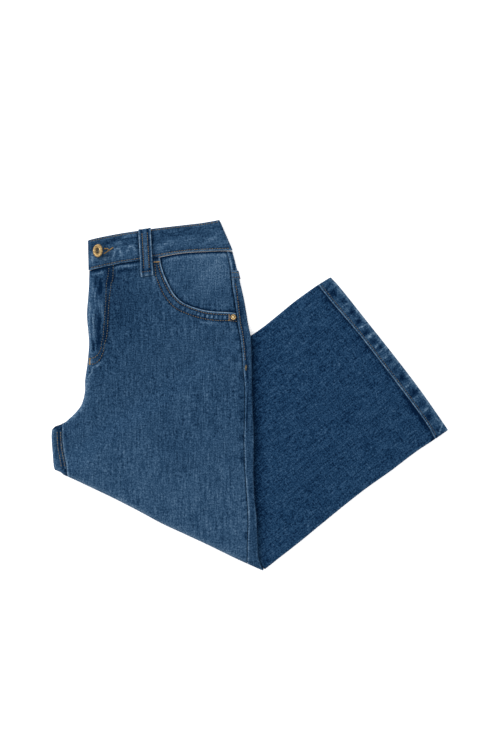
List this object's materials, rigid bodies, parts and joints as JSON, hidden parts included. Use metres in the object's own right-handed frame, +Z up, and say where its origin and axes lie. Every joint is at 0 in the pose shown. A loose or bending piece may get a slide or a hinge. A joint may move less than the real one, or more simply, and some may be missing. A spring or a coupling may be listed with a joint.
{
  "type": "flared jeans, folded flat",
  "caption": "Wide-leg flared denim jeans folded in half at the centre front and again across the thighs, lying flat, with waistband, button, belt loop and pocket.",
  "frame": {"origin": "centre of the bounding box, on the surface that the jeans lie on", "axes": "+Z up from the surface, +Y towards the waist, +X towards the hems"},
  "size_m": [0.5142, 0.4559, 0.022],
  "materials": {
    "denim_body": "mid-blue washed denim twill, slightly slubby along the warp",
    "denim_seam": "denim seams worn pale along their edges",
    "denim_leg": "darker washed denim twill of the lower legs",
    "brass": "aged antique brass"
  },
  "bodies": {
    "root": {"front_left": "denim_body", "pocket_facing_left": "denim_body", "yoke_left": "denim_body", "yoke_seam_left": "denim_seam", "back_left": "denim_body", "back_left_crotch": "denim_body", "inseam_left": "denim_seam", "waistband": "denim_body", "belt_loop": "denim_seam", "front_right": "denim_leg", "hem_left": "denim_leg", "hem_right": "denim_leg", "hidden_layers": "denim_leg", "button": "brass", "rivet": "brass"}
  },
  "joints": []
}
